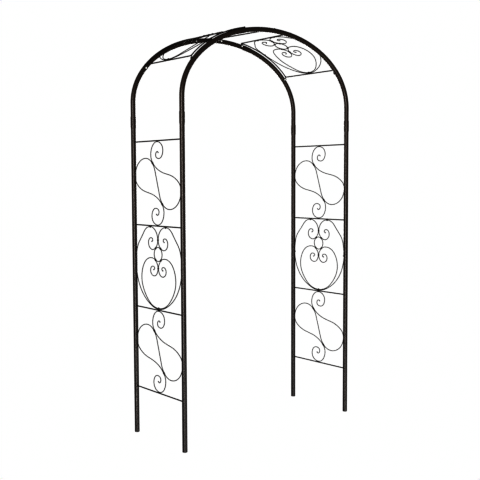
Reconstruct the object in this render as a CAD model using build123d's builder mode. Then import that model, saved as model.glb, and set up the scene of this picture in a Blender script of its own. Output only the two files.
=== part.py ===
"""Garden trellis arch in steel tube and rod, in millimetres.

Two bent tube hoops stand one behind the other. Ladders of thin rod tie their posts together on
both sides, and every bay of the ladders holds a scroll of welded wire. Two curved wire panels and
one tie rod lie over the crown, screwed to the hoops by small lugs.

Frame: X across the walkway, Y from front to back, Z up, origin on the ground at the middle.
"""

import os
from bisect import bisect_left
from math import atan2, cos, degrees, hypot, radians, sin

from build123d import *

os.makedirs("parts", exist_ok=True)

# Overall sizes, from the ground and over the tubes.
arch_height = 2200.0
arch_width = 1200.0
arch_depth = 480.0
rise = 385.0

# Tube and its joints: the hoop's straight leg shows above the post, and the sockets are swaged.
tube_d = 25.0
tube_wall = 1.2
slip_gap = 0.15
hoop_leg = 74.5
post_socket = 55.0
post_spigot = 45.0
crown_joint_x = 186.0
crown_socket = 45.0
crown_spigot = 38.0
swage_taper = 9.0

# Rods, wires and the gap that a weld bridges.
rod_d = 6.0
wire_d = 4.0
weld_gap = 0.1

# Side ladders: the lowest rung from the ground, and the top rung below the post's end.
first_rung = 260.0
top_rung_drop = 136.0
rung_names = ("bottom", "lower", "upper", "top")

# Scrollwork that keeps its size in every panel.
ring_d = 74.0
ring_weld_top = 125.0
ring_weld_bottom = 230.0
ring_above_middle = 73.0
heart_inner_gap = 52.9

# Roof panels, measured along their own curve from the crown, and the rod that ties the crown.
roof_upper_run = 157.0
roof_lower_run = 555.0
roof_ring_run = 284.5
roof_inner_gap = 68.9
roof_left_slip = 13.0
tie_rod_skew = 40.0
tie_rod_gap = 0.4

# Lugs and screws.
lug_thick = 2.5
lug_width = 14.0
lug_drop = 9.0
lug_offset = 7.0
screw_d = 4.0
screw_hole_gap = 0.1
screw_length = 9.0
screw_head_d = 9.0
screw_head_h = 2.6
screw_slot = 1.2

# Foot plugs.
plug_flange = 3.0
plug_spigot = 20.0
plug_gap = 0.05
plug_wall = 2.0
plug_edge = 1.2

tube_r = tube_d / 2
bore_r = tube_r - tube_wall
socket_bore_r = tube_r + slip_gap
socket_r = socket_bore_r + tube_wall
rod_r = rod_d / 2
wire_r = wire_d / 2
ring_r = ring_d / 2

post_x = arch_width / 2 - tube_r
post_y = arch_depth / 2 - tube_r
spring_z = arch_height - tube_r - rise
post_top = spring_z - hoop_leg
bay = (post_top - top_rung_drop - first_rung) / (len(rung_names) - 1)
roof_half_width = post_y - tube_r - rod_r
kiss = wire_r + weld_gap / 2
side_reach = post_y - tube_r - wire_r - weld_gap
side_lift = bay / 2 - rod_r - wire_r - weld_gap

SIDES = (("left", -1), ("right", 1))
DEPTHS = (("front", -1), ("back", 1))


def save(piece, name):
    """Label a finished piece and write it to its own file."""
    piece.label = name
    export_step(piece, f"parts/{name}.step")


# Every tube, rod and wire follows a chain of tangent arcs. A station is a point and a heading;
# between two stations lie two arcs that share a tangent where they meet.


def meeting_point(start, start_heading, end, end_heading):
    """Point where the two arcs between two stations meet."""
    chord = end - start
    both = start_heading + end_heading
    square = 2 * (1 - start_heading.dot(end_heading))
    along = chord.dot(both)
    if square < 1e-9:
        reach = chord.dot(chord) / (2 * along)
    else:
        reach = ((along**2 + square * chord.dot(chord)) ** 0.5 - along) / square
    return (start + end + (start_heading - end_heading) * reach) * 0.5


def bend(start, heading, end):
    """One arc leaving start on a heading, or a line where there is no bend."""
    chord = end - start
    if chord.cross(heading).length < 1e-6 * chord.length:
        Line(start, end)
    else:
        TangentArc(start, end, tangent=heading)


def set_out(stations):
    """The chain of arcs through a list of stations, inside a BuildLine."""
    for (start, heading), (end, end_heading) in zip(stations, stations[1:]):
        middle = meeting_point(start, heading, end, end_heading)
        bend(start, heading, middle)
        bend(end, end_heading * -1, middle)


def bent_bar(stations, outer, bore=0.0):
    """A round bar or tube of outer radius along the stations, with a bore if one is given."""
    start, heading = stations[0]
    with BuildPart() as bar:
        with BuildLine() as route:
            set_out(stations)
        with BuildSketch(Plane(origin=start, z_dir=heading)):
            Circle(outer)
            if bore:
                Circle(bore, mode=Mode.SUBTRACT)
        sweep(path=route.wire())
    return bar.part


# The hoop's centre line is straight up each post, then half an ellipse over the walkway.


def arch_curve(lean, lift=0.0):
    """Point and heading towards the right on the hoop, or lift outside it, at an angle that
    leans from the crown: 0 at the crown and 90 degrees at the right spring."""
    angle = radians(lean)
    slope_x, slope_z = post_x * cos(angle), -rise * sin(angle)
    length = hypot(slope_x, slope_z)
    heading = Vector(slope_x / length, 0, slope_z / length)
    outward = Vector(-slope_z / length, 0, slope_x / length)
    point = Vector(post_x * sin(angle), 0, spring_z + rise * cos(angle)) + outward * lift
    return point, heading


def lean_at(across):
    """The angle at which the hoop is that far across from the crown."""
    return degrees(atan2(across, (post_x**2 - across**2) ** 0.5))


def hoop_station(lean, depth):
    """Station on the centre line of a hoop that stands at depth."""
    point, heading = arch_curve(lean)
    return point + Vector(0, depth, 0), heading


STEP = 0.25


def run_table(lift):
    """Lengths along the curve that lies lift outside the hoop, at every step from the crown."""
    runs = [0.0]
    before, _ = arch_curve(0, lift)
    for count in range(1, int(90 / STEP) + 1):
        here, _ = arch_curve(count * STEP, lift)
        runs.append(runs[-1] + (here - before).length)
        before = here
    return runs


roof_lift = tube_r + rod_r
roof_runs = run_table(roof_lift)


def roof_station(across, run, heading_across, heading_down, side):
    """Point on the roof at a run down from the crown, and a heading in its surface. The left
    roof frame is screwed on a little further down its side than the right one."""
    if side < 0:
        run += roof_left_slip
    index = bisect_left(roof_runs, run)
    share = (run - roof_runs[index - 1]) / (roof_runs[index] - roof_runs[index - 1])
    point, down = arch_curve((index - 1 + share) * STEP, roof_lift)
    point = Vector(side * point.X, across, point.Z)
    heading = Vector(side * down.X, 0, down.Z) * heading_down + Vector(0, heading_across, 0)
    return point, heading.normalized()


# Foot plugs: a mushroom of moulded plastic pressed into each post.

for depth_name, depth_side in DEPTHS:
    for side_name, side in SIDES:
        with BuildPart() as plug:
            with Locations((side * post_x, depth_side * post_y, 0)):
                Cylinder(tube_r, plug_flange, align=(Align.CENTER, Align.CENTER, Align.MIN))
                Cylinder(
                    bore_r - plug_gap,
                    plug_flange + plug_spigot,
                    align=(Align.CENTER, Align.CENTER, Align.MIN),
                )
            fillet(plug.edges().filter_by(GeomType.CIRCLE).group_by(Axis.Z)[0], plug_edge)
            hollow = Plane((side * post_x, depth_side * post_y, plug_flange))
            with BuildSketch(hollow):
                Circle(bore_r - plug_gap - plug_wall)
            extrude(amount=plug_spigot, mode=Mode.SUBTRACT)
        save(plug.part, f"foot_plug_{depth_name}_{side_name}")

# Posts: a straight tube with its top end swaged out into a socket.

for depth_name, depth_side in DEPTHS:
    for side_name, side in SIDES:
        centre = Vector(side * post_x, depth_side * post_y, 0)
        shoulder = post_top - post_socket
        with BuildPart() as post:
            with BuildSketch(Plane(centre, x_dir=(1, 0, 0), z_dir=(0, -1, 0))):
                with BuildLine():
                    Polyline(
                        (bore_r, plug_flange),
                        (tube_r, plug_flange),
                        (tube_r, shoulder - swage_taper),
                        (socket_r, shoulder),
                        (socket_r, post_top),
                        (socket_bore_r, post_top),
                        (socket_bore_r, shoulder),
                        (bore_r, shoulder - swage_taper),
                        close=True,
                    )
                make_face()
            revolve(axis=Axis(centre, (0, 0, 1)))
        save(post.part, f"post_{depth_name}_{side_name}")

# Hoops: each is two bent tubes, a short one with a swaged socket and a long one that passes the
# crown and slips into it. The back hoop is the front hoop turned half way round.

socket_lean = lean_at(crown_joint_x)


def lean_beyond(lean, run):
    """The angle that lies a run further from the crown than another angle."""
    point, heading = arch_curve(lean)
    return lean_at(point.X + run * heading.X)


def hoop_tube(leans):
    """Hoop tube through the given angles and down its straight leg, to the end of its spigot."""
    stations = [hoop_station(lean, 0) for lean in leans]
    stations.append((Vector(post_x, 0, post_top - post_spigot), Vector(0, 0, -1)))
    return bent_bar(stations, tube_r, bore_r)


def against_hoop(centre, outward, depth_side):
    """Plane of a lug's inner face beside a point of the hoop: Y outward from the hoop, Z at it."""
    inner_face = Vector(centre.X, depth_side * (post_y - tube_r - lug_thick), centre.Z)
    toward = Vector(0, depth_side, 0)
    return Plane(inner_face, x_dir=outward.cross(toward), z_dir=toward)


def lug_place(run, side, depth_side):
    """Plane of a corner lug, a little further down the hoop than its cross rod."""
    point, down = roof_station(0, run, 0, 1, side)
    outward = Vector(-down.Z * side, 0, down.X * side)
    return against_hoop(point - outward * roof_lift + down * lug_offset, outward, depth_side)


def tie_rod_end(depth_side):
    """End of the tie rod: at the crown of the back hoop, and a little to its right in front."""
    across = 0 if depth_side > 0 else tie_rod_skew
    point, _ = arch_curve(lean_at(across), roof_lift)
    return Vector(point.X, depth_side * (roof_half_width + rod_r - tie_rod_gap), point.Z)


def tie_lug_place(depth_side):
    """Plane of a tie rod lug, a little to the right of its end of the rod."""
    point, down = arch_curve(lean_at(tie_rod_end(depth_side).X + lug_offset))
    return against_hoop(point, Vector(-down.Z, 0, down.X), depth_side)


lug_places = {
    side_name: [
        lug_place(run, side, depth_side)
        for run in (roof_lower_run, roof_upper_run)
        for _, depth_side in DEPTHS
    ]
    for side_name, side in SIDES
}
lug_places["tie"] = [tie_lug_place(depth_side) for _, depth_side in DEPTHS]
all_lug_places = [place for places in lug_places.values() for place in places]


# Pilot holes through the wall that faces the other hoop, wherever a lug is screwed on.

with BuildPart() as drills:
    for place in all_lug_places:
        with BuildSketch(place):
            Circle(screw_d / 2 + screw_hole_gap)
        extrude(amount=lug_thick + tube_r)

socket_start = lean_beyond(socket_lean, crown_socket)
taper_start = lean_beyond(socket_start, swage_taper)
spigot_end = lean_beyond(socket_lean, crown_spigot)
short_leans = [taper_start, 40, 60, 75, 90]
long_leans = [-spigot_end, -8, 10, 30, 50, 68, 80, 90]
near, far = hoop_station(socket_start, 0), hoop_station(taper_start, 0)

for depth_name, depth_side in DEPTHS:
    # The front hoop's long tube is on the right, and the back hoop's is on the left.
    if depth_name == "front":
        long_side, short_side = "right", "left"
        half_turn = Plane.XY
    else:
        long_side, short_side = "left", "right"
        half_turn = Plane(origin=(0, 0, 0), x_dir=(-1, 0, 0), z_dir=(0, 0, 1))
    stand = half_turn.location * Location((0, -post_y, 0))

    with BuildPart() as long_tube:
        add(hoop_tube(long_leans).moved(stand))
        add(drills.part, mode=Mode.SUBTRACT)
    save(long_tube.part, f"hoop_{depth_name}_{long_side}")

    socket_stations = [hoop_station(socket_lean, 0), hoop_station(socket_start, 0)]
    with BuildPart() as taper:
        for wide, narrow, mode in (
            (socket_r, tube_r, Mode.ADD),
            (socket_bore_r, bore_r, Mode.SUBTRACT),
        ):
            with BuildSketch(Plane(origin=near[0], z_dir=near[1])):
                Circle(wide)
            with BuildSketch(Plane(origin=far[0], z_dir=far[1])):
                Circle(narrow)
            loft(mode=mode)
    with BuildPart() as short_tube:
        for stretch in (
            hoop_tube(short_leans),
            taper.part,
            bent_bar(socket_stations, socket_r, socket_bore_r),
        ):
            add(stretch.mirror(Plane.YZ).moved(stand))
        add(drills.part, mode=Mode.SUBTRACT)
    save(short_tube.part, f"hoop_{depth_name}_{short_side}")

# Rungs: straight rods welded between the front and back posts.

rung_length = 2 * (post_y - tube_r - weld_gap)
for side_name, side in SIDES:
    for index, rung_name in enumerate(rung_names):
        height = first_rung + index * bay
        with BuildPart() as rung:
            with BuildSketch(Plane.XZ.offset(-rung_length / 2)):
                with Locations((side * post_x, height)):
                    Circle(rod_r)
            extrude(amount=rung_length)
        save(rung.part, f"rung_{side_name}_{rung_name}")

# Scrolls. A bend list gives, for each station, its place as a share of the space it fills, its
# heading in degrees, and -1, 0 or 1 where it stands aside to its right for a kiss weld.

# Half of the S scroll, from the middle of its bay to the eye beside the rung below.
s_half = [
    (0.0, 0.0, 107.5, 0),
    (-0.094, 0.290, 107.5, 0),
    (-0.2047, 0.4926, 134.0, -1),
    (-0.5164, 0.6130, 180.0, 0),
    (-1.0, 0.1705, 270.0, 0),
    (-0.7042, -0.1475, 338.0, 0),
    (-0.2817, -0.2488, 348.0, 0),
    (0.2047, -0.4926, 314.0, 1),
    (0.2770, -0.6912, 270.0, 0),
    (-0.0050, -1.0, 180.0, 0),
    (-0.2535, -0.7880, 90.0, 0),
    (-0.0751, -0.5960, 0.0, 0),
    (0.0610, -0.6866, -90.0, 0),
    (-0.0141, -0.7650, -180.0, 0),
    (-0.0470, -0.7419, -230.0, 0),
]
s_scroll = [(-u, -v, heading, -aside) for u, v, heading, aside in reversed(s_half[1:])] + s_half


def in_bay(station, side, middle):
    """Station of a side scroll, from shares of its bay to a point and heading in the panel."""
    u, v, heading, aside = station
    point = Vector(side * post_x, -u * side_reach, middle + v * side_lift)
    toward = Vector(0, -cos(radians(heading)) * side_reach, sin(radians(heading)) * side_lift)
    toward = toward.normalized()
    right_hand = Vector(0, -toward.Z, toward.Y)
    return point + right_hand * (aside * kiss), toward


for side_name, side in SIDES:
    for index, bay_name in ((0, "lower"), (2, "upper")):
        middle = first_rung + (index + 0.5) * bay
        scroll = bent_bar([in_bay(station, side, middle) for station in s_scroll], wire_r)
        save(scroll, f"scroll_{side_name}_{bay_name}")


# Hearts. Everything is measured from the middle of the ring, with u across and v towards the
# pair of upper curls. The curls and the ring have one size; the loops reach to fit the panel.


def ring_kiss(angle, turn):
    """Station beside the ring, where a wire passes on a turn from the ring's own radius."""
    away = ring_r + 2 * kiss
    return away * cos(radians(angle)), away * sin(radians(angle)), angle + turn


def climb(slope, height, reach):
    """Heading of a loop whose slope is a share of its height over a share of its reach."""
    return degrees(atan2(slope * height, reach))


def outer_half(reach, top, foot):
    """Half of the outer wire of a heart, from its foot to the eye of the upper curl."""
    return [
        (0.0, -foot, 180.0),
        (-0.516 * reach, -0.871 * foot, climb(0.471, foot, -reach)),
        (-reach, -0.222 * foot, 90.0),
        (-0.840 * reach, 0.424 * top, climb(1.643, top, reach)),
        (-0.340 * reach, top, 0.0),
        (-kiss, 75.0, -90.0),
        ring_kiss(ring_weld_top, 90.0 - 360.0),
        (-52.0, 23.0, -180.0),
        (-90.5, 58.0, -270.0),
        (-66.0, 85.0, -360.0),
        (-49.0, 74.0, -450.0),
        (-58.0, 66.0, -515.0),
    ]


def inner_half(reach, foot):
    """Half of the inner wire of a heart, from its foot to the eye of the lower curl."""
    rise_of_foot = foot - 2 * kiss
    return [
        (0.0, -rise_of_foot, 180.0),
        (-0.375 * reach, -0.957 * rise_of_foot, climb(0.232, rise_of_foot, -reach)),
        (-0.781 * reach, -0.770 * rise_of_foot, climb(0.704, rise_of_foot, -reach)),
        (-reach, -0.462 * rise_of_foot, 90.0),
        (-65.0, -21.0, 0.0),
        ring_kiss(ring_weld_bottom, 90.0 - 360.0),
        (-kiss, -74.0, -90.0),
        (-40.0, -116.0, -180.0),
        (-73.0, -88.0, -270.0),
        (-51.0, -65.0, -360.0),
        (-34.0, -75.0, -450.0),
        (-43.0, -83.0, -515.0),
    ]


def whole(half):
    """Both halves of a symmetrical wire, from the left eye round its foot to the right eye."""
    left = [(u, v, heading + 180) for u, v, heading in reversed(half[1:])]
    foot = [(half[0][0], half[0][1], 0.0)]
    right = [(-u, v, 180 - heading) for u, v, heading in half[1:]]
    return left + foot + right


def in_side(station, side, middle):
    """Station of a side heart, from its own measures to a point and heading in the panel."""
    u, v, heading = station
    point = Vector(side * post_x, -u, middle + ring_above_middle + v)
    return point, Vector(0, -cos(radians(heading)), sin(radians(heading)))


def on_roof(station, side):
    """Station of a roof heart, from its own measures to a point and heading on the roof."""
    u, v, heading = station
    return roof_station(u, roof_ring_run - v, cos(radians(heading)), -sin(radians(heading)), side)


def ring(plane):
    """A closed ring of wire lying in a plane."""
    with BuildPart() as hoop:
        with BuildSketch(Plane(plane.origin + plane.x_dir * ring_r, z_dir=plane.y_dir)):
            Circle(wire_r)
        revolve(axis=Axis(plane.origin, plane.z_dir))
    return hoop.part


side_middle = first_rung + 1.5 * bay
side_top = side_lift - ring_above_middle
side_foot = side_lift + ring_above_middle
for side_name, side in SIDES:
    outer = whole(outer_half(side_reach, side_top, side_foot))
    inner = whole(inner_half(side_reach - heart_inner_gap, side_foot))
    for wire_name, wire in (("outer", outer), ("inner", inner)):
        heart = bent_bar([in_side(station, side, side_middle) for station in wire], wire_r)
        save(heart, f"heart_{side_name}_{wire_name}")
    ring_centre = (side * post_x, 0, side_middle + ring_above_middle)
    save(ring(Plane(ring_centre, x_dir=(0, 1, 0), z_dir=(1, 0, 0))), f"heart_{side_name}_ring")

roof_reach = roof_half_width - rod_r - wire_r - weld_gap
roof_top = roof_ring_run - roof_upper_run - rod_r - wire_r - weld_gap
roof_foot = roof_lower_run - roof_ring_run - rod_r - wire_r - weld_gap
for side_name, side in SIDES:
    outer = whole(outer_half(roof_reach, roof_top, roof_foot))
    inner = whole(inner_half(roof_reach - roof_inner_gap, roof_foot))
    for wire_name, wire in (("outer", outer), ("inner", inner)):
        heart = bent_bar([on_roof(station, side) for station in wire], wire_r)
        save(heart, f"roof_{side_name}_heart_{wire_name}")
    centre, down = roof_station(0, roof_ring_run, 0, 1, side)
    ring_plane = Plane(centre, x_dir=(0, 1, 0), z_dir=down.cross(Vector(0, 1, 0)))
    save(ring(ring_plane), f"roof_{side_name}_heart_ring")

# Roof frames: two straight cross rods, and two side rods bent to the roof between them.

cross_rod_length = 2 * (roof_half_width + rod_r)
side_rod_steps = 4
for side_name, side in SIDES:
    for rod_name, run in (("upper", roof_upper_run), ("lower", roof_lower_run)):
        point, _ = roof_station(0, run, 0, 1, side)
        with BuildPart() as cross_rod:
            with BuildSketch(Plane.XZ.offset(-cross_rod_length / 2)):
                with Locations((point.X, point.Z)):
                    Circle(rod_r)
            extrude(amount=cross_rod_length)
        save(cross_rod.part, f"roof_{side_name}_{rod_name}_rod")
    first_run = roof_upper_run + rod_r + weld_gap
    last_run = roof_lower_run - rod_r - weld_gap
    for depth_name, depth_side in DEPTHS:
        stations = []
        for step in range(side_rod_steps + 1):
            run = first_run + (last_run - first_run) * step / side_rod_steps
            stations.append(roof_station(depth_side * roof_half_width, run, 0, 1, side))
        save(bent_bar(stations, rod_r), f"roof_{side_name}_{depth_name}_rod")

# Tie rod across the crown.

tie_rod_ends = [tie_rod_end(depth_side) for _, depth_side in DEPTHS]
tie_rod_way = tie_rod_ends[1] - tie_rod_ends[0]
with BuildPart() as tie_rod:
    with BuildSketch(Plane(tie_rod_ends[0], z_dir=tie_rod_way)):
        Circle(rod_r)
    extrude(amount=tie_rod_way.length)
save(tie_rod.part, "crown_tie_rod")

# Lugs: flat plates that hang from the corners of the roof and lie against the hoops.

for group, places in lug_places.items():
    with BuildPart() as lugs:
        for place in places:
            with BuildSketch(place):
                with Locations((0, (tube_r - lug_drop) / 2)):
                    Rectangle(lug_width, tube_r + lug_drop - 2 * weld_gap)
                Circle(screw_d / 2 + screw_hole_gap, mode=Mode.SUBTRACT)
            extrude(amount=lug_thick)
    name = "crown_tie_lugs" if group == "tie" else f"roof_{group}_lugs"
    save(lugs.part, name)

# Screws: pan heads against the lugs, shanks through them into the hoop tubes.

with BuildPart() as screws:
    for place in all_lug_places:
        with BuildSketch(place):
            Circle(screw_d / 2)
        extrude(amount=screw_length)
        with BuildSketch(place):
            Circle(screw_head_d / 2)
        extrude(amount=-screw_head_h)
        with BuildSketch(place.offset(-screw_head_h)):
            Rectangle(screw_head_d * 0.6, screw_slot)
            Rectangle(screw_slot, screw_head_d * 0.6)
        extrude(amount=screw_head_h / 2, mode=Mode.SUBTRACT)
save(screws.part, "lug_screws")
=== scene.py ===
"""A garden arch of black powder-coated steel tube, rod and wire, standing on a white studio floor.

Everything is in metres in the arch's own frame: X across the walkway, Y from front to back, Z up from
the ground. The tubes, rods and wires come with the frame. This file gives them their finish, and adds
the welds and the rounded wire ends that hold or show on the real arch.
"""

from math import cos, pi, radians, sin

import bmesh
import bpy
from mathutils import Matrix, Vector


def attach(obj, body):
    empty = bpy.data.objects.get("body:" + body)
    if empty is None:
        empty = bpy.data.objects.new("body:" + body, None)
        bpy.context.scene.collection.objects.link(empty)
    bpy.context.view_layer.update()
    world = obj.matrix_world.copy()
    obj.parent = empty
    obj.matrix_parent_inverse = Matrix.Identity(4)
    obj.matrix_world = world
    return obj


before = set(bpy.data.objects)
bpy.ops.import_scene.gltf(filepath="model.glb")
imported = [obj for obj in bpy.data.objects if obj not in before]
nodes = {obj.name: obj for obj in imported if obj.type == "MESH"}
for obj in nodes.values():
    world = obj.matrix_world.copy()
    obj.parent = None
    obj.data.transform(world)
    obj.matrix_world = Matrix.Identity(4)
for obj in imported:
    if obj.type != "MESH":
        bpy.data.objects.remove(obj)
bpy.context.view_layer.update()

# Camera. It stands in front of the arch and to its left, a little over half way up, and looks
# slightly down, so that one side is seen from inside and the other from outside.

STANDS_AT = (-2.9923, -3.6312, 1.3904)
TURNED, TILTED, ROLLED = -39.172, -4.181, -0.220
LENS, SENSOR = 62.29, 36.0

lens = bpy.data.cameras.new("camera")
lens.sensor_width = SENSOR
lens.lens = LENS
lens.clip_end = 100.0
camera = bpy.data.objects.new("camera", lens)
camera.matrix_world = (
    Matrix.Translation(STANDS_AT)
    @ Matrix.Rotation(radians(TURNED), 4, "Z")
    @ Matrix.Rotation(radians(90 + TILTED), 4, "X")
    @ Matrix.Rotation(radians(ROLLED), 4, "Z")
)
bpy.context.scene.collection.objects.link(camera)
bpy.context.scene.camera = camera

# Finishes are built from nodes. A Signal is one socket that Python arithmetic turns into Math
# nodes, and a Finish is one material that makes its nodes through a single method.


class Signal:
    """A value that varies over a surface."""

    def __init__(self, finish, socket):
        self.finish = finish
        self.socket = socket

    def maths(self, operation, first, second):
        return self.finish.node("ShaderNodeMath", {"operation": operation}, {0: first, 1: second})

    def __add__(self, other):
        return self.maths("ADD", self, other)

    def __radd__(self, other):
        return self.maths("ADD", other, self)

    def __sub__(self, other):
        return self.maths("SUBTRACT", self, other)

    def __rsub__(self, other):
        return self.maths("SUBTRACT", other, self)

    def __mul__(self, other):
        return self.maths("MULTIPLY", self, other)

    def __rmul__(self, other):
        return self.maths("MULTIPLY", other, self)


class Finish:
    """A procedural material on Object coordinates."""

    def __init__(self, name):
        self.material = bpy.data.materials.new(name)
        self.material.use_nodes = True
        self.tree = self.material.node_tree
        self.tree.nodes.clear()
        self.place = self.node("ShaderNodeTexCoord", output="Object")

    def node(self, kind, settings=None, sockets=None, output=0):
        """Adds a node, sets it up, fills its sockets with values or links, and returns one output."""
        made = self.tree.nodes.new(kind)
        for name, value in (settings or {}).items():
            setattr(made, name, value)
        for name, value in (sockets or {}).items():
            if isinstance(value, Signal):
                self.tree.links.new(value.socket, made.inputs[name])
            else:
                made.inputs[name].default_value = value
        return Signal(self, made.outputs[output])

    def stretched(self, scale):
        """Object coordinates stretched by a scale along each axis."""
        return self.node("ShaderNodeMapping", None, {"Vector": self.place, "Scale": scale})

    def height(self):
        """Height above the ground."""
        return self.node("ShaderNodeSeparateXYZ", None, {0: self.place}, "Z")

    def noise(self, scale, detail=2.0, rough=0.5, place=None):
        """Soft noise from 0 to 1, with so many waves to the metre."""
        sockets = {"Scale": scale, "Detail": detail, "Roughness": rough}
        sockets["Vector"] = place or self.place
        return self.node("ShaderNodeTexNoise", None, sockets, "Fac")

    def over(self, value, low, high):
        """0 where a signal is below low, 1 where it is above high, and smooth between."""
        settings = {"interpolation_type": "SMOOTHSTEP"}
        sockets = {"Value": value, "From Min": low, "From Max": high}
        return self.node("ShaderNodeMapRange", settings, sockets, "Result")

    def blend(self, share, first, second):
        """A colour between two colours."""
        settings = {"data_type": "RGBA"}
        sockets = {"Factor": share, 6: first, 7: second}
        return self.node("ShaderNodeMix", settings, sockets, 2)

    def bump(self, height, distance, strength=1.0, under=None):
        """A surface normal raised by a height signal, on top of another one."""
        sockets = {"Height": height, "Distance": distance, "Strength": strength}
        if under:
            sockets["Normal"] = under
        return self.node("ShaderNodeBump", None, sockets, "Normal")

    def surface(self, sockets):
        """Ends the material with a Principled shader."""
        shader = self.node("ShaderNodeBsdfPrincipled", None, sockets, "BSDF")
        end = self.tree.nodes.new("ShaderNodeOutputMaterial")
        self.tree.links.new(shader.socket, end.inputs["Surface"])
        return self.material


# Studio. A white seamless floor that glows, a white surround, one tall soft light beside the camera,
# a weaker one behind the arch and one under the floor in front, which lets light through. The glossy
# coat sees the surround as a dark room, which keeps the edges of the tubes black.

FLOOR_REACH = 30.0
SEEN_BRIGHTNESS, GLOSSY_BRIGHTNESS = 1.0, 0.03
VIEW_GAMMA = 0.5

floor_mesh = bmesh.new()
bmesh.ops.create_grid(floor_mesh, x_segments=1, y_segments=1, size=FLOOR_REACH)
floor_data = bpy.data.meshes.new("studio_floor")
floor_mesh.to_mesh(floor_data)
floor_mesh.free()
floor = bpy.data.objects.new("studio_floor", floor_data)
bpy.context.scene.collection.objects.link(floor)
floor_finish = Finish("studio_floor_paper")
floor_data.materials.append(
    floor_finish.surface(
        {
            "Base Color": (0.0, 0.0, 0.0, 1),
            "Roughness": 1.0,
            "Specular IOR Level": 0.0,
            "Emission Color": (1, 1, 1, 1),
            "Emission Strength": SEEN_BRIGHTNESS,
        }
    )
)
floor.visible_glossy = False
floor.visible_shadow = False

surround = bpy.data.worlds.new("studio_surround")
surround.use_nodes = True
surround_nodes = surround.node_tree.nodes
surround_links = surround.node_tree.links
bright = surround_nodes["Background"]
bright.inputs["Color"].default_value = (1, 1, 1, 1)
bright.inputs["Strength"].default_value = SEEN_BRIGHTNESS
dim = surround_nodes.new("ShaderNodeBackground")
dim.inputs["Color"].default_value = (1, 1, 1, 1)
dim.inputs["Strength"].default_value = GLOSSY_BRIGHTNESS
rays = surround_nodes.new("ShaderNodeLightPath")
choice = surround_nodes.new("ShaderNodeMixShader")
surround_links.new(rays.outputs["Is Glossy Ray"], choice.inputs["Fac"])
surround_links.new(bright.outputs["Background"], choice.inputs[1])
surround_links.new(dim.outputs["Background"], choice.inputs[2])
surround_links.new(choice.outputs["Shader"], surround_nodes["World Output"].inputs["Surface"])
bpy.context.scene.world = surround
bpy.context.scene.view_settings.view_transform = "Standard"
bpy.context.scene.view_settings.gamma = VIEW_GAMMA


def soft_light(name, at, towards, width, height, power):
    """A rectangular soft light."""
    data = bpy.data.lights.new(name, "AREA")
    data.shape = "RECTANGLE"
    data.size, data.size_y, data.energy = width, height, power
    light = bpy.data.objects.new(name, data)
    light.location = at
    light.rotation_euler = (Vector(towards) - Vector(at)).to_track_quat("-Z", "Y").to_euler()
    bpy.context.scene.collection.objects.link(light)


soft_light("key_light", (-4.6, -3.4, 0.7), (0, 0, 0.7), width=1.6, height=4.6, power=500)
soft_light("back_light", (3.5, 4.5, 2.0), (0, 0, 1.2), width=1.5, height=3.5, power=130)
soft_light("floor_bounce", (0.2, -3.2, -0.8), (0.2, 0, 1.8), width=2.4, height=1.4, power=70)

# Black powder coat. Dry powder is sprayed on the bare steel and baked, so the film flows into a
# fine orange peel. It has a soft sheen, and a painted warm reflection makes its colour warmer above.


def powder_coat(name, colour, sheen_and_mottle, roughness, peel, shine):
    """A satin black powder coat, whose orange peel has so many waves to the metre."""
    coat = Finish(name)
    cloud = coat.noise(5.0, detail=3.0, rough=0.55)
    streaks = coat.noise(1.3, place=coat.stretched((1, 1, 0.35)))
    drift = coat.over(streaks, low=0.35, high=0.65)
    grain = coat.noise(peel * 4, detail=3.0, rough=0.6)
    flow = coat.noise(peel, rough=0.45)
    # Painted warm reflection: the base colour turns warmer towards the top, and random mottling is
    # mixed in too.
    warm_sheen_above = coat.over(coat.height(), low=0.2, high=1.7)
    body = coat.blend(warm_sheen_above * 0.6 + cloud * 0.25 + drift * 0.15, colour, sheen_and_mottle)
    peel_normal = coat.bump(flow, distance=0.00006, strength=0.2)
    normal = coat.bump(grain, distance=0.00001, strength=0.15, under=peel_normal)
    return coat.surface(
        {
            "Base Color": body,
            "Roughness": roughness + cloud * 0.08 - drift * 0.05 + grain * 0.03,
            "Normal": normal,
            "Specular IOR Level": shine,
            "Specular Tint": (1.0, 0.95, 0.91, 1),
        }
    )


def dress(names, finish):
    """Gives frame pieces their finish."""
    for name in names:
        slots = nodes[name].data.materials
        slots.clear()
        slots.append(finish)


# Posts and hoops. Round steel tube: the posts are straight and swaged out at the top, and each hoop is
# two bent tubes that slip together near the crown and into the posts.

# The second colour is a painted warm reflection towards the top, and it is also mixed in for random
# mottling.
TUBE_COLOUR, TUBE_SHEEN_AND_MOTTLE = (0.014, 0.014, 0.014, 1), (0.032, 0.024, 0.019, 1)

tube_black = powder_coat(
    "tube_powder_coat", TUBE_COLOUR, TUBE_SHEEN_AND_MOTTLE, roughness=0.30, peel=300.0, shine=0.5
)
dress([name for name in nodes if name.startswith(("post_", "hoop_"))], tube_black)

# Rungs, roof rods, scrolls, hearts, rings and lugs. Thin rod, wire and strip, coated with the tubes
# after welding.

# The second colour is a painted warm reflection towards the top, and it is also mixed in for random
# mottling.
WIRE_COLOUR, WIRE_SHEEN_AND_MOTTLE = (0.010, 0.010, 0.010, 1), (0.020, 0.017, 0.015, 1)

wire_black = powder_coat(
    "wire_powder_coat", WIRE_COLOUR, WIRE_SHEEN_AND_MOTTLE, roughness=0.40, peel=700.0, shine=0.3
)
THIN_PIECES = ("rung_", "scroll_", "heart_", "roof_", "crown_")
dress([name for name in nodes if name.startswith(THIN_PIECES)], wire_black)

# Foot plugs. Black polyethylene, moulded with a fine spark-eroded grain, pressed into the posts.

PLASTIC, SCUFFED = (0.010, 0.010, 0.011, 1), (0.05, 0.05, 0.05, 1)

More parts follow.
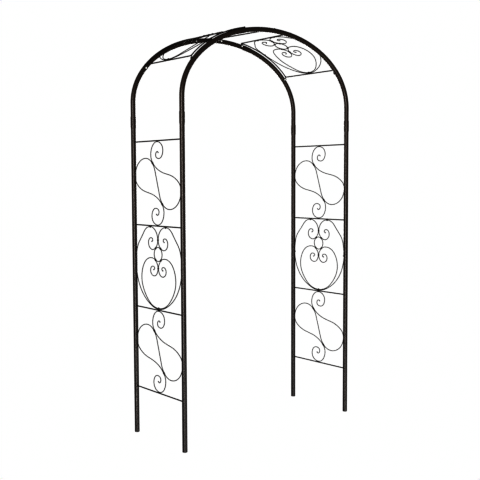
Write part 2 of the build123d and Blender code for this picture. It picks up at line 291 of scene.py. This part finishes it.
plastic = Finish("foot_plug_plastic")
pits = plastic.noise(1600.0, rough=0.6)
scuff = plastic.over(plastic.noise(90.0, detail=4.0, rough=0.7), low=0.55, high=0.75)
dress(
    [name for name in nodes if name.startswith("foot_plug_")],
    plastic.surface(
        {
            "Base Color": plastic.blend(scuff * 0.4, PLASTIC, SCUFFED),
            "Roughness": 0.5 + scuff * 0.2,
            "Normal": plastic.bump(pits, distance=0.00012, strength=0.5),
        }
    ),
)

# Lug screws. Pan heads in dull passivated zinc plate, driven through the lugs from inside the arch.

ZINC, TARNISHED = (0.86, 0.86, 0.84, 1), (0.66, 0.66, 0.62, 1)

zinc = Finish("screw_zinc_plate")
tarnish = zinc.over(zinc.noise(700.0, detail=3.0, rough=0.6), low=0.4, high=0.7)
dress(
    ["lug_screws"],
    zinc.surface(
        {
            "Base Color": zinc.blend(tarnish, ZINC, TARNISHED),
            "Metallic": 0.3,
            "Roughness": 0.35 + tarnish * 0.2,
            "Normal": zinc.bump(tarnish, distance=0.00005, strength=0.4),
        }
    ),
)

# Weld beads. Short runs of weld metal laid where two wires kiss, or a wire meets a rod or a tube,
# and coated black with the rest. Each is a rippled lozenge, long in the direction of the joint.
# TUBE, ROD and WIRE are radii. A bead's size is its length, its width in the panel and its thickness.

TUBE, ROD, WIRE = 0.0125, 0.003, 0.002
WELD_GAP = 0.0001
BEAD_STATIONS, BEAD_SIDES = 6, 8
BEAD_FULLNESS, BEAD_RIPPLE = 0.6, 0.06
SCROLL_BEAD = (0.028, 0.0125, 0.0080)
RUNG_BEAD = (0.013, 0.0085, 0.0070)
POST_BEAD = (0.016, 0.0050, 0.0070)
HEART_BEAD = (0.014, 0.0130, 0.0080)


def middle_of(name):
    """Middle of a piece that comes with the frame."""
    corners = [Vector(corner) for corner in nodes[name].bound_box]
    return sum(corners, Vector()) / len(corners)


POST_X, POST_Y = middle_of("post_back_right").x, middle_of("post_back_right").y
LOW_RUNG = middle_of("rung_left_bottom").z
BAY = middle_of("rung_left_lower").z - LOW_RUNG
RING_MIDDLE = middle_of("heart_left_ring").z
KISS = WIRE + WELD_GAP / 2
REACH = POST_Y - TUBE - WIRE - WELD_GAP
LIFT = BAY / 2 - ROD - WIRE - WELD_GAP

pattern = bmesh.new()
outline = [pattern.verts.new((0, 0, -0.5))]
for station in range(1, BEAD_STATIONS):
    share = station / BEAD_STATIONS
    swell = sin(pi * share) ** BEAD_FULLNESS * (1.0 + BEAD_RIPPLE * (-1) ** station)
    outline.append(pattern.verts.new((0, swell / 2, share - 0.5)))
outline.append(pattern.verts.new((0, 0, 0.5)))
edges = [pattern.edges.new(pair) for pair in zip(outline, outline[1:])]
bmesh.ops.spin(
    pattern,
    geom=outline + edges,
    cent=(0, 0, 0),
    axis=(0, 0, 1),
    angle=2 * pi,
    steps=BEAD_SIDES,
    use_merge=True,
)
bmesh.ops.remove_doubles(pattern, verts=pattern.verts, dist=0.0001)
bead_pattern = bpy.data.meshes.new("weld_bead_pattern")
pattern.to_mesh(bead_pattern)
pattern.free()


def bead(mesh, centre, along, outward, size):
    """Lays a bead of weld metal along a joint, its thickness outward from the panel."""
    length, width, thick = size
    along, outward = along.normalized(), outward.normalized()
    sideways = along.cross(outward)
    turned = Matrix((sideways * width, outward * thick, along * length)).transposed().to_4x4()
    laid = len(mesh.verts)
    mesh.from_mesh(bead_pattern)
    mesh.verts.ensure_lookup_table()
    bmesh.ops.transform(
        mesh, matrix=Matrix.Translation(centre) @ turned, verts=mesh.verts[laid:]
    )


# Collars go round the ends of the rods. One's size is its radius at the tube and its length along the
# rod. It starts a little inside the tube, its bore is a little inside the rod, and HOLLOW is the point
# of its face, as shares of the way out and along, that makes the face hollow.
RUNG_COLLAR = (0.0056, 0.0042)
COLLAR_STEPS = 12
INTO_TUBE, INTO_ROD = 0.0006, 0.0004
HOLLOW = (0.45, 0.35)


def collar(mesh, centre, axis, size):
    """A closed hollow fillet of weld metal round a rod, where it butts against a tube."""
    outer, length = size
    axis = axis.normalized()
    away = axis.orthogonal().normalized()
    profile = [
        (ROD - INTO_ROD, 0.0),
        (outer, 0.0),
        (ROD + (outer - ROD) * HOLLOW[0], length * HOLLOW[1]),
        (ROD + WELD_GAP, length),
        (ROD - INTO_ROD, length),
    ]
    corners = [mesh.verts.new(centre + away * radius + axis * run) for radius, run in profile]
    sides = [mesh.edges.new(pair) for pair in zip(corners, corners[1:] + corners[:1])]
    bmesh.ops.spin(
        mesh,
        geom=corners + sides,
        cent=centre,
        axis=axis,
        angle=2 * pi,
        steps=COLLAR_STEPS,
        use_merge=True,
    )


def finished(mesh, name, finish):
    """Turns a mesh into a welded-on piece that rides with the arch."""
    bmesh.ops.remove_doubles(mesh, verts=mesh.verts, dist=0.00001)
    bmesh.ops.recalc_face_normals(mesh, faces=mesh.faces)
    for face in mesh.faces:
        face.smooth = True
    data = bpy.data.meshes.new(name)
    mesh.to_mesh(data)
    mesh.free()
    data.materials.append(finish)
    piece = bpy.data.objects.new(name, data)
    bpy.context.scene.collection.objects.link(piece)
    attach(piece, "root")


# Where the wires of a heart kiss: one pair of curls above the ring and one below, and four wires on
# the ring. A kiss is its place from the ring's middle, across and up, and the heading of its bead.
# SHOULDER and CHEEK are shares of the heart's reach and foot, where it meets its frame.
CURL_KISSES = ((0.0, 0.075, 90.0), (0.0, -0.074, 90.0))
RING_RADIUS = 0.037
RING_KISS = RING_RADIUS + KISS
RING_KISSES = tuple(
    (RING_KISS * cos(radians(angle)), RING_KISS * sin(radians(angle)), angle + 90.0)
    for angle in (125.0, 55.0, 230.0, 310.0)
)
SHOULDER, CHEEK = 0.340, 0.222


def heart_kisses(reach, top, foot):
    """Where the wires of a heart touch each other and its frame, from the middle of its ring."""
    frame_kisses = (
        (0.0, -foot, 0.0),
        (0.0, -foot + 2 * KISS, 0.0),
        (SHOULDER * reach, top, 0.0),
        (-SHOULDER * reach, top, 0.0),
        (reach, -CHEEK * foot, 90.0),
        (-reach, -CHEEK * foot, 90.0),
    )
    return frame_kisses + CURL_KISSES + RING_KISSES


def on_side(u, v, side):
    """Point of a side, from its distance towards the front and its height."""
    return Vector((side * POST_X, -u, v))


# Each S scroll is the same after half a turn, so a place on it counts twice. WAIST is where its wire
# passes its own curl, BOW where it meets the post, and TOE where it meets the rung.
WAIST_ACROSS, WAIST_UP, WAIST_HEADING = 0.2047, 0.4926, 134.0
BOW_UP, TOE_ACROSS = 0.1705, 0.005
SCROLL_MIDDLES = (LOW_RUNG + BAY / 2, LOW_RUNG + 2.5 * BAY)
RING_RISE = RING_MIDDLE - (LOW_RUNG + 1.5 * BAY)
for side_name, side in (("left", -1), ("right", 1)):
    beads = [
        (u, RING_MIDDLE + v, heading, HEART_BEAD)
        for u, v, heading in heart_kisses(REACH, LIFT - RING_RISE, LIFT + RING_RISE)
    ]
    for middle in SCROLL_MIDDLES:
        for turn in (-1, 1):
            waist = (-WAIST_ACROSS * REACH * turn, middle + WAIST_UP * LIFT * turn)
            toe = (-TOE_ACROSS * REACH * turn, middle - (LIFT + WIRE) * turn)
            bow = (-(REACH + WIRE) * turn, middle + BOW_UP * LIFT * turn)
            beads += [
                (*waist, WAIST_HEADING, SCROLL_BEAD),
                (*toe, 0.0, RUNG_BEAD),
                (*bow, 90.0, POST_BEAD),
            ]
    mesh = bmesh.new()
    for u, v, heading, size in beads:
        along = Vector((0, -cos(radians(heading)), sin(radians(heading))))
        bead(mesh, on_side(u, v, side), along, Vector((1, 0, 0)), size)
    for rung in range(4):
        for end in (-1, 1):
            at = on_side(-end * (POST_Y - TUBE + INTO_TUBE), LOW_RUNG + rung * BAY, side)
            collar(mesh, at, Vector((0, -end, 0)), RUNG_COLLAR)
    finished(mesh, f"welds_{side_name}_side", wire_black)

# Roof welds. The roof panels are bent to the hoops, so a place on one is a run down the curve from the
# crown, to its upper rod, its lower rod or its ring. The left panel sits a little further down than
# the right, where its lugs were screwed on.

SPRING, RISE = 1.8025, 0.385
ROOF_LIFT = TUBE + ROD
ROOF_HALF = POST_Y - TUBE - ROD
UPPER_RUN, LOWER_RUN, RING_RUN = 0.157, 0.555, 0.2845
LEFT_SLIP = 0.013
LEAN_STEPS = 360
ROOF_BEAD = (0.015, 0.0125, 0.0085)
ROOF_COLLAR = (0.0050, 0.0040)


def roof_curve(lean):
    """Point above the hoop at a lean from the crown, and the way out of the roof there."""
    outward = Vector((RISE * sin(lean), 0, POST_X * cos(lean))).normalized()
    return Vector((POST_X * sin(lean), 0, SPRING + RISE * cos(lean))) + outward * ROOF_LIFT, outward


def on_roof(across, run, side):
    """Point on a roof panel, the way down the roof there, and the way out of it."""
    left_over = run + (LEFT_SLIP if side < 0 else 0.0)
    before = roof_curve(0.0)[0]
    for step in range(1, LEAN_STEPS):
        here, outward = roof_curve(pi / 2 * step / LEAN_STEPS)
        left_over -= (here - before).length
        if left_over < 0:
            break
        before = here
    point = here + (here - before).normalized() * left_over
    down = Vector((outward.z, 0, -outward.x))
    return (
        Vector((side * point.x, across, point.z)),
        Vector((side * down.x, 0, down.z)),
        Vector((side * outward.x, 0, outward.z)),
    )


CLEAR = ROD + WIRE + WELD_GAP
ROOF_KISSES = heart_kisses(
    ROOF_HALF - CLEAR, RING_RUN - UPPER_RUN - CLEAR, LOWER_RUN - RING_RUN - CLEAR
)
for side_name, side in (("left", -1), ("right", 1)):
    mesh = bmesh.new()
    for u, v, heading in ROOF_KISSES:
        centre, down, outward = on_roof(u, RING_RUN - v, side)
        along = Vector((0, cos(radians(heading)), 0)) - down * sin(radians(heading))
        bead(mesh, centre, along, outward, ROOF_BEAD)
    for end in (-1, 1):
        for run, turn in ((UPPER_RUN + ROD, 1), (LOWER_RUN - ROD, -1)):
            centre, down = on_roof(end * ROOF_HALF, run, side)[:2]
            collar(mesh, centre - down * (INTO_TUBE * turn), down * turn, ROOF_COLLAR)
    finished(mesh, f"welds_{side_name}_roof", wire_black)
bpy.data.meshes.remove(bead_pattern)

# Wire ends. Each scroll and curl is sheared off at its eye, and the coating draws up into a small
# round drop over the cut.

DROP = 0.0036
SCROLL_EYE_ACROSS, SCROLL_EYE_UP = 0.0470, 0.7419
HEART_EYES = ((0.058, 0.066), (-0.058, 0.066), (0.043, -0.083), (-0.043, -0.083))
ends = bmesh.new()
for side in (-1, 1):
    drops = [
        on_side(-SCROLL_EYE_ACROSS * REACH * turn, middle - SCROLL_EYE_UP * LIFT * turn, side)
        for middle in SCROLL_MIDDLES
        for turn in (-1, 1)
    ]
    for u, v in HEART_EYES:
        drops.append(on_side(u, RING_MIDDLE + v, side))
        drops.append(on_roof(u, RING_RUN - v, side)[0])
    for drop in drops:
        bmesh.ops.create_icosphere(
            ends, subdivisions=1, radius=DROP, matrix=Matrix.Translation(drop)
        )
finished(ends, "wire_end_drops", wire_black)
